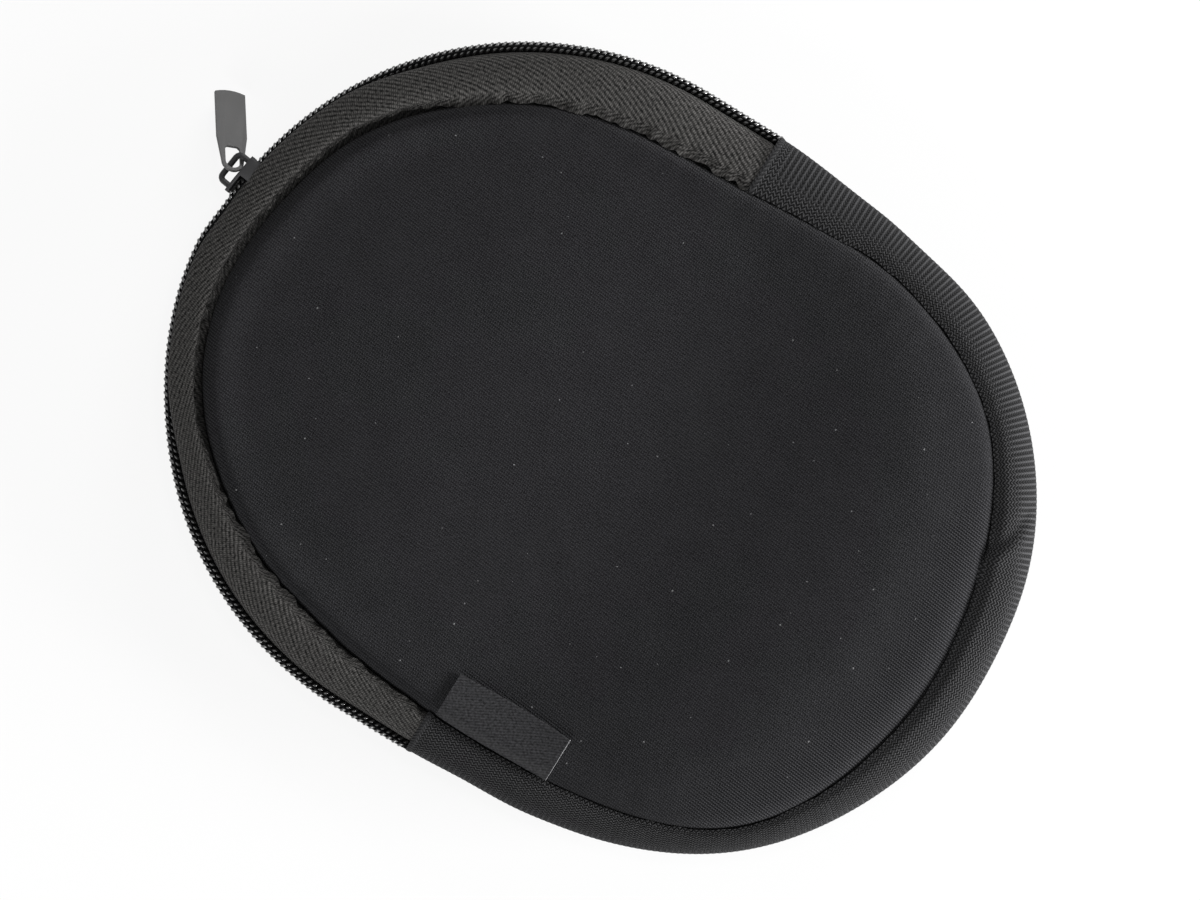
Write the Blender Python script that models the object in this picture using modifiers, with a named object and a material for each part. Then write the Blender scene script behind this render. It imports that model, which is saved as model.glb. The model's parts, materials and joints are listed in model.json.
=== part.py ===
# Soft zip pouch for a headset: two neoprene panels, a gusset that is half zip and half webbing,
# and a coil zip whose slider runs round one end. The front panel folds open at the end of the zip.
# The pouch lies on its back: the floor is z = 0, the fold line is x = 0, the zip is on the -X side.

import math

import bmesh
import bpy
from mathutils import Matrix, Vector

MM = 0.001
HALF_TURN = math.pi
QUARTER_TURN = math.pi / 2

# Plan of the pouch
END_RADIUS = 83.4 * MM  # outside of the gusset at both round ends
ZIP_RUN = 20.4 * MM  # fold line to the middle of the zipped end
SPINE_RUN = 25.0 * MM  # fold line to the middle of the webbing end
GUSSET_WIDTH = 10.7 * MM  # seam to the outside of the gusset, seen from above
ARC_STEPS = 20  # facets in each round end

# Height of the pouch, lying flat
POUCH_HEIGHT = 24.0 * MM  # floor to the crown of the front panel
GUSSET_HALF_HEIGHT = 7.8 * MM  # chain to the rolled edge of the tape
GUSSET_SQUARENESS = 2.5  # 2 is an ellipse, more is boxier
RIM_HALF_HEIGHT = 6.0 * MM  # chain to the outer edge of a panel
RIM_DEPTH = 1.7 * MM  # thickness of a panel where it is sewn
PANEL_THICKNESS = 3.5 * MM
CROWN_SHARPNESS = 5.0  # how far out the front panel stays full
FLOOR_ROLL = 16.4 * MM  # width of the back panel's rounded border
PANEL_RINGS = 7

# Sewn strips
TAPE_THICKNESS = 0.8 * MM
WEBBING_THICKNESS = 1.2 * MM
TURN_IN = 3.4 * MM  # edge of a strip turned down into the seam
ROLL_RADIUS = 1.1 * MM  # where a strip rolls into the seam
ROLL_START = 0.22  # share of the quarter turn that the roll takes up
STRIP_RINGS = 6
BINDING_WIDTH = 5.6 * MM
BINDING_HEIGHT = 2.4 * MM
BINDING_CORNER = 0.8 * MM
LABEL_LENGTH = 30.4 * MM
LABEL_WIDTH = 9.6 * MM
LABEL_THICKNESS = 0.7 * MM
LABEL_START = 0.4 * MM  # fold line to the near end of the label
LABEL_RINGS = 4
LABEL_STEPS = 2

# Coil zip
TOOTH_PITCH = 1.6 * MM
CHAIN_HALF_WIDTH = 2.9 * MM  # back of a coil row to the middle of the chain
COIL_RAIL = 0.9 * MM  # solid back of a coil row
COIL_DEPTH = 2.3 * MM  # how far the coil stands off the tape
TOOTH_OVERLAP = 0.6 * MM  # head past the middle of the closed chain
TOOTH_TAPER = 0.56  # head width over root width
TAPE_EDGE = 1.1 * MM  # edge of the tape to the middle of the chain
OPEN_SPLIT = 0.9 * MM  # each row moved aside along the open stretch
NOSE_SPLIT = 1.6 * MM  # each row moved aside at the slider's nose
SPLIT_EASE = 15.0 * MM  # length over which the rows settle past the nose

# Slider
SLIDER_ANGLE = math.radians(172.9)  # place along the round end, as photographed
SLIDER_LENGTH = 10.4 * MM
SLIDER_WALL = 0.8 * MM
SLIDER_CORNER = 0.9 * MM
FLANGE_LENGTH = 5.4 * MM  # flanges run from the closed end this far, then the coil shows
SPLIT_START = -4.6 * MM  # where the channel starts to fork, from the middle of the slider
SPLIT_END = 1.6 * MM
WEDGE_START = 0.0 * MM  # point of the wedge between the rows
WEDGE_END = 4.6 * MM
WEDGE_HALF_WIDTH = 0.65 * MM
WEDGE_NOSE = 0.16 * MM  # half width of its blunt ends
WEDGE_TAIL = 1.3 * MM  # length of its short taper
INNER_PLATE_HALF_WIDTH = 3.2 * MM
INNER_PLATE_LENGTH = 9.0 * MM
INNER_PLATE_GAP = 1.2 * MM  # behind the tape where it stands upright
BRIDGE_LENGTH = 9.0 * MM
BRIDGE_RADIUS = 0.75 * MM
BRIDGE_RISE = 3.15 * MM  # plate to the middle of the bridge bar
BRIDGE_BEND = 1.2 * MM
BEND_STEPS = 4

# Pull tab
TAB_LENGTH = 20.3 * MM  # bridge bar to the free end
TAB_WIDTH = 7.6 * MM
TAB_THICKNESS = 0.8 * MM
TAB_EYE_RADIUS = 1.85 * MM
TAB_EYE_LENGTH = 4.2 * MM  # bridge bar to the straight end of the eye
TAB_EYE_WALL = 0.9 * MM
TAB_EYE_CORNER = 0.6 * MM
TAB_ROUND_STEPS = 12  # facets of the eye's round end
TAB_SHOULDER = 7.0 * MM  # bridge bar to the full width
TAB_END_BOW = 0.7 * MM
TAB_END_STEPS = 6
TAB_SLOPE = math.radians(38.0)  # down to the table along the zip
TAB_YAW = math.radians(53.2)  # turned from straight out towards the closed end
TAB_SEAT = 1.2 * MM  # middle of the bridge to the tab, towards the closed end

CLEARANCE = 0.3 * MM  # between pieces that are sewn or lie together
TOOTH_CLEARANCE = 0.3 * MM  # slider to coil, across the chain
PLATE_CLEARANCE = 0.35 * MM  # slider to coil and tape, out from the pouch
WELD = 0.001 * MM
SHARP_ANGLE = math.radians(35.0)
PIVOT_SIZE = 5.0 * MM

# Heights and radii that the pieces share
CHAIN_Z = POUCH_HEIGHT / 2
SEAM_RADIUS = END_RADIUS - GUSSET_WIDTH
PANEL_RADIUS = SEAM_RADIUS - CLEARANCE
COIL_INNER = END_RADIUS + CLEARANCE
COIL_OUTER = COIL_INNER + COIL_DEPTH
PLATE_INNER = COIL_OUTER + PLATE_CLEARANCE
PLATE_OUTER = PLATE_INNER + SLIDER_WALL
BRIDGE_CENTRE = PLATE_OUTER + BRIDGE_RISE
FOLD_GAP = CLEARANCE / 2


# Scene, collections and materials
def empty_scene():
    for old in list(bpy.data.objects):
        bpy.data.objects.remove(old)


def collection(name):
    made = bpy.data.collections.new(name)
    bpy.context.scene.collection.children.link(made)
    return made


def material(name, colour, roughness, metallic=0.0):
    made = bpy.data.materials.new(name)
    made.use_nodes = True
    shader = made.node_tree.nodes["Principled BSDF"]
    shader.inputs["Base Color"].default_value = (*colour, 1.0)
    shader.inputs["Roughness"].default_value = roughness
    shader.inputs["Metallic"].default_value = metallic
    return made


def part(name, mesh, finish, group, parent=None):
    obj = bpy.data.objects.new(name, mesh)
    group.objects.link(obj)
    mesh.materials.append(finish)
    mesh.shade_smooth()
    mesh.set_sharp_from_angle(angle=SHARP_ANGLE)
    if parent:
        obj.parent = parent
        obj.matrix_parent_inverse = parent.matrix_world.inverted()
    return obj


def helper(name, mesh, group, parent):
    obj = bpy.data.objects.new(name, mesh)
    group.objects.link(obj)
    obj.parent = parent
    obj.hide_render = True
    obj.display_type = "WIRE"
    return obj


def pivot(name, place, group, parent=None, turn=(0.0, 0.0, 0.0)):
    obj = bpy.data.objects.new(name, None)
    group.objects.link(obj)
    obj.location = place
    obj.rotation_euler = turn
    obj.parent = parent
    obj.empty_display_size = PIVOT_SIZE
    bpy.context.view_layer.update()
    return obj


def mesh_from(bm, name):
    mesh = bpy.data.meshes.new(name)
    bm.to_mesh(mesh)
    bm.free()
    return mesh


# Paths round the pouch: each station is a centre on the long axis and a direction out from it
def arc_stations(centre_x, start):
    return [(centre_x, start + HALF_TURN * i / ARC_STEPS) for i in range(ARC_STEPS + 1)]


def zip_path():
    ends = [(-FOLD_GAP, QUARTER_TURN)], [(-FOLD_GAP, 3 * QUARTER_TURN)]
    return ends[0] + arc_stations(-ZIP_RUN, QUARTER_TURN) + ends[1]


def spine_path():
    ends = [(FOLD_GAP, -QUARTER_TURN)], [(FOLD_GAP, QUARTER_TURN)]
    return ends[0] + arc_stations(SPINE_RUN, -QUARTER_TURN) + ends[1]


def whole_path():
    path = arc_stations(-ZIP_RUN, QUARTER_TURN) + arc_stations(SPINE_RUN, 3 * QUARTER_TURN)
    return path + path[:1]


def place(station, radius, z):
    centre_x, angle = station
    return Vector((centre_x + radius * math.cos(angle), radius * math.sin(angle), z))


# A section of (radius, height) points carried along a path
def sweep(section, points):
    rows, columns = len(section), len(points[0])
    bm = bmesh.new()
    bmesh.ops.create_grid(bm, x_segments=columns - 1, y_segments=rows - 1, size=1.0)
    for vert in bm.verts:
        row, column = divmod(vert.index, columns)
        vert.co = points[row][column]
    return bm


def grid_points(section, path):
    return [[place(station, *point) for station in path] for point in section]


def strip_mesh(name, section, path):
    bm = sweep(section, grid_points(section, path))
    return mesh_from(bm, name)


def close(bm):
    bmesh.ops.remove_doubles(bm, verts=bm.verts, dist=WELD)
    rims = [edge for edge in bm.edges if edge.is_boundary]
    if rims:
        bmesh.ops.holes_fill(bm, edges=rims, sides=0)
    bmesh.ops.recalc_face_normals(bm, faces=bm.faces)


def solid_mesh(name, section, path):
    bm = sweep(section, grid_points(section, path))
    close(bm)
    return mesh_from(bm, name)


# Panels: sections from the long axis out to the sewn rim and back along the inside
def crown(radius, reach, rim_z, top_z):
    share = min(radius / reach, 1.0)
    return rim_z + (top_z - rim_z) * math.sqrt(1.0 - share**CROWN_SHARPNESS)


def ring_radii(reach):
    turns = [QUARTER_TURN * i / PANEL_RINGS for i in range(PANEL_RINGS + 1)]
    return [reach * math.sqrt(math.sin(turn)) for turn in turns]


def front_outer(radius):
    return crown(radius, PANEL_RADIUS, CHAIN_Z + RIM_HALF_HEIGHT, POUCH_HEIGHT)


def front_section():
    rim_low = CHAIN_Z + RIM_HALF_HEIGHT - RIM_DEPTH
    inner_reach = PANEL_RADIUS - RIM_DEPTH
    outer = [(r, front_outer(r)) for r in ring_radii(PANEL_RADIUS)]
    inner = [
        (r, crown(r, inner_reach, rim_low, POUCH_HEIGHT - PANEL_THICKNESS))
        for r in ring_radii(inner_reach)
    ]
    return outer + inner[::-1]


def back_section():
    rim_z = CHAIN_Z - RIM_HALF_HEIGHT
    flat = PANEL_RADIUS - FLOOR_ROLL
    inner_flat = flat - RIM_DEPTH
    inner_rise = rim_z + RIM_DEPTH - PANEL_THICKNESS
    turns = [QUARTER_TURN * i / PANEL_RINGS for i in range(PANEL_RINGS + 1)]
    outer = [(flat + FLOOR_ROLL * math.sin(t), rim_z * (1 - math.cos(t))) for t in turns]
    inner = [
        (inner_flat + FLOOR_ROLL * math.sin(t), PANEL_THICKNESS + inner_rise * (1 - math.cos(t)))
        for t in turns
    ]
    return [(0.0, 0.0)] + outer + inner[::-1] + [(0.0, PANEL_THICKNESS)]


# Gusset strips: the middle line of tape or webbing, from the turned-in edge to the chain
def gusset_side(thickness, edge):
    half = thickness / 2
    reach = GUSSET_WIDTH - thickness
    rise = GUSSET_HALF_HEIGHT - half
    power = 2 / GUSSET_SQUARENESS
    last = math.acos((edge / rise) ** (1 / power)) if edge else QUARTER_TURN
    first = ROLL_START * QUARTER_TURN
    seam = SEAM_RADIUS + half
    turned = [(seam, rise - ROLL_RADIUS - TURN_IN), (seam, rise - ROLL_RADIUS)]
    turns = [first + (last - first) * i / STRIP_RINGS for i in range(STRIP_RINGS + 1)]
    outside = [
        (seam + reach * math.sin(t) ** power, rise * math.cos(t) ** power) for t in turns
    ]
    return turned + outside


def add_thickness(obj, thickness):
    solidify = obj.modifiers.new("cloth", "SOLIDIFY")
    solidify.thickness = thickness
    solidify.offset = 0.0
    solidify.use_even_offset = True


def tape(name, side, finish, group, parent=None):
    section = [(r, CHAIN_Z + side * z) for r, z in gusset_side(TAPE_THICKNESS, TAPE_EDGE)]
    obj = part(name, strip_mesh(name, section, zip_path()), finish, group, parent)
    add_thickness(obj, TAPE_THICKNESS)


def webbing(name, finish, group):
    half = gusset_side(WEBBING_THICKNESS, 0.0)
    upper = [(r, CHAIN_Z + z) for r, z in half]
    lower = [(r, CHAIN_Z - z) for r, z in half[:-1]]
    obj = part(name, strip_mesh(name, upper + lower[::-1], spine_path()), finish, group)
    add_thickness(obj, WEBBING_THICKNESS)


# Binding: a folded strip that covers the raw seam edges inside
def binding_section(side):
    high = RIM_HALF_HEIGHT - RIM_DEPTH - CLEARANCE
    low = high - BINDING_HEIGHT
    outer = PANEL_RADIUS
    inner = outer - BINDING_WIDTH
    soft = BINDING_CORNER
    half = [
        (inner + soft, high),
        (outer - soft, high),
        (outer, high - soft),
        (outer, low + soft),
        (outer - soft, low),
        (inner + soft, low),
        (inner, low + soft),
        (inner, high - soft),
    ]
    ring = [(r, CHAIN_Z + side * z) for r, z in half]
    return ring + ring[:1]


# Label: a folded strip of satin, caught in the front seam and lying on the front panel
def label_mesh(name):
    outer = PANEL_RADIUS - CLEARANCE
    radii = [outer - LABEL_WIDTH * i / LABEL_RINGS for i in range(LABEL_RINGS + 1)]
    lift = CLEARANCE + LABEL_THICKNESS / 2
    section = [(r, front_outer(r) + lift) for r in radii]
    shares = [i / LABEL_STEPS for i in range(LABEL_STEPS + 1)]
    path = [(LABEL_START + LABEL_LENGTH * share, -QUARTER_TURN) for share in shares]
    return strip_mesh(name, section, path)


# Coil rows: a rail with one tooth for each turn of the coil, parted beyond the slider
def chain_path():
    fine = []
    stations = zip_path()
    middle = (COIL_INNER + COIL_OUTER) / 2
    for first, last in zip(stations, stations[1:]):
        length = (place(last, middle, 0.0) - place(first, middle, 0.0)).length
        cells = 2 * max(1, round(length / TOOTH_PITCH))
        fine += [(first, last, i / cells) for i in range(cells)]
    return fine + [(stations[-2], stations[-1], 1.0)]


def chain_point(step, radius, z):
    first, last, share = step
    return place(first, radius, z).lerp(place(last, radius, z), share)


def ease(value):
    share = min(max(value, 0.0), 1.0)
    return share * share * (3 - 2 * share)


def row_split(past_slider, left):
    nose = SLIDER_LENGTH / 2
    forked = (past_slider - SPLIT_START) / (SPLIT_END - SPLIT_START)
    at_nose = NOSE_SPLIT * min(max(forked, 0.0), 1.0)
    settled = (NOSE_SPLIT - OPEN_SPLIT) * ease((past_slider - nose) / SPLIT_EASE)
    return (at_nose - settled) * ease(left / SPLIT_EASE)


def chain_splits(path):
    middle = (COIL_INNER + COIL_OUTER) / 2
    points = [chain_point(step, middle, 0.0) for step in path]
    run = [0.0]
    for a, b in zip(points, points[1:]):
        run.append(run[-1] + (b - a).length)
    slider = ZIP_RUN - FOLD_GAP + middle * (SLIDER_ANGLE - QUARTER_TURN)
    return [row_split(s - slider, run[-1] - s) for s in run]


def coil_mesh(name, side, phase):
    path = chain_path()
    splits = chain_splits(path)
    root = CHAIN_HALF_WIDTH - COIL_RAIL
    section = [
        (COIL_INNER, CHAIN_HALF_WIDTH),
        (COIL_INNER, root),
        (COIL_OUTER, root),
        (COIL_OUTER, CHAIN_HALF_WIDTH),
        (COIL_INNER, CHAIN_HALF_WIDTH),
    ]
    points = [
        [chain_point(step, r, CHAIN_Z + side * (z + split)) for step, split in zip(path, splits)]
        for r, z in section
    ]
    bm = sweep(section, points)
    columns = len(path)
    roots = []
    for face in bm.faces:
        row, column = divmod(min(vert.index for vert in face.verts), columns)
        if row == 1 and column % 2 == phase:
            roots.append(face)
    close(bm)
    heads = bmesh.ops.extrude_discrete_faces(bm, faces=roots)["faces"]
    for head in heads:
        middle = head.calc_center_median()
        along = min((e.verts[1].co - e.verts[0].co for e in head.edges), key=lambda e: e.length)
        along = Vector((along.x, along.y, 0.0)).normalized()
        for vert in head.verts:
            vert.co -= along * (vert.co - middle).dot(along) * (1 - TOOTH_TAPER)
            vert.co.z -= side * (root + TOOTH_OVERLAP)
    bmesh.ops.recalc_face_normals(bm, faces=bm.faces)
    return mesh_from(bm, name)


# Flat outlines given a thickness, and bars along a line
def curve_mesh(name, curve):
    obj = bpy.data.objects.new(name, curve)
    bpy.context.scene.collection.objects.link(obj)
    graph = bpy.context.evaluated_depsgraph_get()
    mesh = bpy.data.meshes.new_from_object(obj.evaluated_get(graph))
    bpy.data.objects.remove(obj)
    bm = bmesh.new()
    bm.from_mesh(mesh)
    bmesh.ops.remove_doubles(bm, verts=bm.verts, dist=WELD)
    bmesh.ops.recalc_face_normals(bm, faces=bm.faces)
    bm.to_mesh(mesh)
    bm.free()
    mesh.name = name
    return mesh


def add_line(curve, points, cyclic):
    line = curve.splines.new("POLY")
    line.points.add(len(points) - 1)
    for target, point in zip(line.points, points):
        target.co = (*point, 0.0, 1.0)
    line.use_cyclic_u = cyclic


def plate_mesh(name, outlines, thickness):
    curve = bpy.data.curves.new(name, "CURVE")
    curve.dimensions = "2D"
    curve.fill_mode = "BOTH"
    curve.extrude = thickness / 2
    for outline in outlines:
        add_line(curve, outline, True)
    return curve_mesh(name, curve)


def bar_mesh(name, points, radius):
    curve = bpy.data.curves.new(name, "CURVE")
    curve.dimensions = "3D"
    curve.bevel_depth = radius
    curve.bevel_resolution = 2
    curve.use_fill_caps = True
    add_line(curve, points, False)
    return curve_mesh(name, curve)


def arc_points(centre, radius, start, end, steps):
    turns = [start + (end - start) * i / steps for i in range(steps + 1)]
    return [(centre[0] + radius * math.cos(t), centre[1] + radius * math.sin(t)) for t in turns]


def mirrored(half):
    return half + [(a, -b) for a, b in half[::-1]]


# Slider, in the frame of its pivot: x out from the pouch, y along the zip to the open end, z up
def upright(mesh, low, high):
    turn = Matrix(((0, 0, 1, 0), (1, 0, 0, 0), (0, 1, 0, 0), (0, 0, 0, 1)))
    mesh.transform(Matrix.Translation(((low + high) / 2, 0, 0)) @ turn)
    return mesh


def slab(name, outline, low, high):
    return upright(plate_mesh(name, [outline], high - low), low, high)


def slider_outline(margin, beyond):
    tail = CHAIN_HALF_WIDTH + TOOTH_CLEARANCE + margin
    nose = tail + NOSE_SPLIT
    end = SLIDER_LENGTH / 2 + beyond
    corner = SLIDER_CORNER if margin else 0.0
    half = [
        (-end, tail - corner),
        (-end + corner, tail),
        (SPLIT_START, tail),
        (SPLIT_END, nose),
        (end - corner, nose),
        (end, nose - corner),
    ]
    return mirrored(half) if corner else mirrored([half[0], half[2], half[3], half[5]])


def trim_outline():
    width = CHAIN_HALF_WIDTH + TOOTH_CLEARANCE + NOSE_SPLIT + 2 * SLIDER_WALL
    start = FLANGE_LENGTH - SLIDER_LENGTH / 2
    return mirrored([(start, width), (SLIDER_LENGTH / 2 + SLIDER_WALL, width)])


def wedge_outline():
    half = [
        (WEDGE_START, WEDGE_NOSE),
        (WEDGE_END - WEDGE_TAIL, WEDGE_HALF_WIDTH),
        (WEDGE_END, WEDGE_NOSE),
    ]
    return mirrored(half)


def rounded_box(length, half_width, corner):
    end = length / 2
    half = [
        (-end, half_width - corner),
        (-end + corner, half_width),
        (end - corner, half_width),
        (end, half_width - corner),
    ]
    return mirrored(half)


def bridge_points():
    end = BRIDGE_LENGTH / 2 - BRIDGE_RADIUS
    bend = (BRIDGE_CENTRE - BRIDGE_BEND, end - BRIDGE_BEND)
    corner = arc_points(bend, BRIDGE_BEND, QUARTER_TURN, 0.0, BEND_STEPS)
    half = [(PLATE_INNER + SLIDER_WALL / 2, end)] + corner
    return half + [(x, -y) for x, y in half[::-1]]


def join(obj, other, operation):
    modifier = obj.modifiers.new(other.name, "BOOLEAN")
    modifier.operation = operation
    modifier.solver = "EXACT"
    modifier.object = other


def slider(finish, group, cutters, axle):
    flange_tip = END_RADIUS + PLATE_CLEARANCE
    inner_face = END_RADIUS - TAPE_THICKNESS - INNER_PLATE_GAP
    inner_back = inner_face - SLIDER_WALL
    wedge_low = inner_back + SLIDER_WALL / 2
    wedge_high = PLATE_INNER + SLIDER_WALL / 2
    block = slab("body", slider_outline(SLIDER_WALL, 0.0), flange_tip, PLATE_OUTER)
    body = part("slider_body", block, finish, group)
    body.parent = axle
    channel = slab("channel", slider_outline(0.0, SLIDER_WALL), flange_tip - SLIDER_WALL, PLATE_INNER)
    join(body, helper("slider_channel", channel, cutters, axle), "DIFFERENCE")
    trim = slab("trim", trim_outline(), flange_tip - SLIDER_WALL, PLATE_INNER)
    join(body, helper("slider_flange_trim", trim, cutters, axle), "DIFFERENCE")
    wedge = slab("wedge", wedge_outline(), wedge_low, wedge_high)
    join(body, helper("slider_wedge", wedge, cutters, axle), "UNION")
    inner = slab(
        "inner",
        rounded_box(INNER_PLATE_LENGTH, INNER_PLATE_HALF_WIDTH, SLIDER_CORNER),
        inner_back,
        inner_face,
    )
    join(body, helper("slider_inner_plate", inner, cutters, axle), "UNION")
    bridge = bar_mesh("bridge", bridge_points(), BRIDGE_RADIUS)
    join(body, helper("slider_bridge", bridge, cutters, axle), "UNION")


# Pull tab, in its own plane: x along the tab from the bridge bar, y across
def tab_outline():
    end_radius = TAB_EYE_RADIUS + TAB_EYE_WALL
    side = TAB_WIDTH / 2
    bow = (side**2 + TAB_END_BOW**2) / (2 * TAB_END_BOW)
    spread = math.asin(side / bow)
    eye_end = arc_points((0.0, 0.0), end_radius, QUARTER_TURN, 3 * QUARTER_TURN, TAB_ROUND_STEPS)
    free_end = arc_points((TAB_LENGTH - bow, 0.0), bow, -spread, spread, TAB_END_STEPS)
    return eye_end + [(TAB_SHOULDER, -side)] + free_end + [(TAB_SHOULDER, side)]


def eye_outline():
    side = TAB_EYE_RADIUS
    corner = TAB_EYE_CORNER
    round_end = arc_points((0.0, 0.0), side, QUARTER_TURN, 3 * QUARTER_TURN, TAB_ROUND_STEPS)
    square_end = [
        (TAB_EYE_LENGTH - corner, -side),
        (TAB_EYE_LENGTH, -side + corner),
        (TAB_EYE_LENGTH, side - corner),
        (TAB_EYE_LENGTH - corner, side),
    ]
    return round_end + square_end


def pull_tab(finish, group, hinge):
    flat = plate_mesh("tab", [tab_outline(), eye_outline()], TAB_THICKNESS)
    tab = part("pull_tab", flat, finish, group)
    tab.parent = hinge
    tab.rotation_euler = (0.0, 0.0, -TAB_YAW)


def build():
    empty_scene()
    group = collection("zip_pouch")
    cutters = collection("zip_pouch_cutters")

    neoprene = material("black_neoprene", (0.016, 0.016, 0.017), 0.85)
    twill = material("grey_zip_tape", (0.034, 0.032, 0.029), 0.8)
    ribbed = material("grey_webbing", (0.022, 0.022, 0.023), 0.75)
    lining = material("black_binding", (0.012, 0.012, 0.012), 0.8)
    satin = material("black_satin", (0.010, 0.010, 0.011), 0.45)
    nylon = material("black_nylon", (0.010, 0.010, 0.010), 0.3)
    gunmetal = material("gunmetal_paint", (0.14, 0.14, 0.145), 0.5, 0.3)

    fold = pivot("fold_line", (0.0, 0.0, POUCH_HEIGHT), group)
    axle = pivot("slider_axis", (-ZIP_RUN, 0.0, CHAIN_Z), group, turn=(0.0, 0.0, SLIDER_ANGLE))
    seat = (BRIDGE_CENTRE, -TAB_SEAT, 0.0)
    hinge = pivot("tab_hinge", seat, group, axle, (TAB_SLOPE, 0.0, 0.0))

    part("back_panel", solid_mesh("back_panel", back_section(), whole_path()), neoprene, group)
    part("front_panel", solid_mesh("front_panel", front_section(), spine_path()), neoprene, group)
    part("front_flap", solid_mesh("front_flap", front_section(), zip_path()), neoprene, group, fold)

    webbing("spine_webbing", ribbed, group)
    tape("back_zip_tape", -1, twill, group)
    tape("front_zip_tape", 1, twill, group, fold)
    part("back_zip_coil", coil_mesh("back_zip_coil", -1, 1), nylon, group)
    part("front_zip_coil", coil_mesh("front_zip_coil", 1, 0), nylon, group, fold)

    back_ring = solid_mesh("back_seam_binding", binding_section(-1), whole_path())
    part("back_seam_binding", back_ring, lining, group)
    spine_ring = solid_mesh("front_seam_binding", binding_section(1), spine_path())
    part("front_seam_binding", spine_ring, lining, group)
    flap_ring = solid_mesh("flap_seam_binding", binding_section(1), zip_path())
    part("flap_seam_binding", flap_ring, lining, group, fold)

    label = part("side_label", label_mesh("side_label"), satin, group)
    add_thickness(label, LABEL_THICKNESS)

    slider(gunmetal, group, cutters, axle)
    pull_tab(gunmetal, group, hinge)


build()
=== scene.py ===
import json
from math import pi, radians

import bpy
import numpy as np
from mathutils import Matrix, Vector, noise


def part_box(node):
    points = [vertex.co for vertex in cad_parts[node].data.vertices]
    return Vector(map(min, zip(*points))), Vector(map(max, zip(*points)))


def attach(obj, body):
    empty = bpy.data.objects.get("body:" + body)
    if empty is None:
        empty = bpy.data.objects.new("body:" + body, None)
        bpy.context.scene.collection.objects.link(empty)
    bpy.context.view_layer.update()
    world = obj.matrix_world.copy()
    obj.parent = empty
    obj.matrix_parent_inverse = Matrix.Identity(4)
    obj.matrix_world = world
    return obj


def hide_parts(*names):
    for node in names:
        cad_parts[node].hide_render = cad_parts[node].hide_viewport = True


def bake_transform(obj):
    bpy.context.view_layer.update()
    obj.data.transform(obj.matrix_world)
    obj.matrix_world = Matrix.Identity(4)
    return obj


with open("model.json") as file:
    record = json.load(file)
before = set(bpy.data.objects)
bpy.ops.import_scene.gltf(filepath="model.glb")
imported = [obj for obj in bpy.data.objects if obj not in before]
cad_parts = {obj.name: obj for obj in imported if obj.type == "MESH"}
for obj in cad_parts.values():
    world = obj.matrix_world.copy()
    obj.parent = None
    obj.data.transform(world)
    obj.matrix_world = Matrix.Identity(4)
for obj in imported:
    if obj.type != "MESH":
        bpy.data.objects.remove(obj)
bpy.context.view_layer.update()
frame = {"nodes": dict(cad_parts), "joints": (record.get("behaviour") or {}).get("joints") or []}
mm = 0.001
joints = {joint["name"]: joint for joint in frame["joints"]}
print("frame loaded,", len(frame["nodes"]), "solids")

# the outline that every piece follows, read off the solids and their joints
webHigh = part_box("spine_webbing")[1]
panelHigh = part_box("front_panel")[1]
endRadius = webHigh.y
spineRun = webHigh.x - webHigh.y
zipRun = -joints["slider_travel"]["pos_m"][0]
chainZ = joints["slider_travel"]["pos_m"][2]
panelRadius, topZ = panelHigh.y, panelHigh.z


# selecting, welding and forming
def clearSelection():
    if bpy.context.mode != "OBJECT":
        bpy.ops.object.mode_set(mode="OBJECT")
    bpy.ops.object.select_all(action="DESELECT")


def makeActive(piece):
    clearSelection()
    piece.select_set(True)
    bpy.context.view_layer.objects.active = piece


def addPiece(name, data):
    piece = bpy.data.objects.new(name, data)
    bpy.context.scene.collection.objects.link(piece)
    return piece


def openMesh(piece):  # in edit mode, all selected
    makeActive(piece)
    bpy.ops.object.mode_set(mode="EDIT")
    bpy.ops.mesh.select_all(action="SELECT")


def applyModifiers(piece):
    makeActive(piece)
    for modifier in list(piece.modifiers):
        bpy.ops.object.modifier_apply(modifier=modifier.name)


def weld(piece, reach=0.01 * mm, outward=True):
    openMesh(piece)
    bpy.ops.mesh.remove_doubles(threshold=reach)
    if outward:
        bpy.ops.mesh.normals_make_consistent(inside=False)
    bpy.ops.object.mode_set(mode="OBJECT")


def smooth(piece, angle=60):
    makeActive(piece)
    bpy.ops.object.shade_smooth_by_angle(angle=radians(angle))


def formGrid(name, spots, weave):  # spots: rows, columns, xyz; weave: metres along and across
    rows, columns = spots.shape[:2]
    clearSelection()
    bpy.ops.mesh.primitive_grid_add(x_subdivisions=columns - 1, y_subdivisions=rows - 1, size=1)
    piece = bpy.context.active_object
    piece.name = name
    piece.data.name = name
    piece.data.vertices.foreach_set("co", spots.reshape(-1).astype(np.float32))
    corners = np.empty(len(piece.data.loops), np.int32)
    piece.data.loops.foreach_get("vertex_index", corners)
    flat = weave.reshape(-1, 2)[corners].astype(np.float32)
    piece.data.uv_layers.active.data.foreach_set("uv", flat.reshape(-1))
    piece.data.update()
    return piece


def mark(piece, name, values):  # one value on each point, for a finish to read
    field = piece.data.attributes.new(name, "FLOAT", "POINT")
    field.data.foreach_set("value", np.ravel(values).astype(np.float32))


def thicken(piece, thickness):  # half to each side
    wall = piece.modifiers.new("wall", "SOLIDIFY")
    wall.thickness = thickness
    wall.offset = 0
    wall.use_even_offset = True
    applyModifiers(piece)


# curves along and across a seam
def ease(t):
    t = np.clip(t, 0, 1)
    return t * t * (3 - 2 * t)


def between(place, start, startOver, end, endOver, fall=1):  # rises over a run, later falls
    return ease((place - start) / startOver) * (1 - fall * ease((place - end) / endOver))


def bell(place, middle, reach):  # 1 at the middle, fading both ways
    return np.exp(-(((place - middle) / reach) ** 2))


def squared(value, power):  # makes a circle boxier
    return np.sign(value) * np.abs(value) ** power


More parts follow.
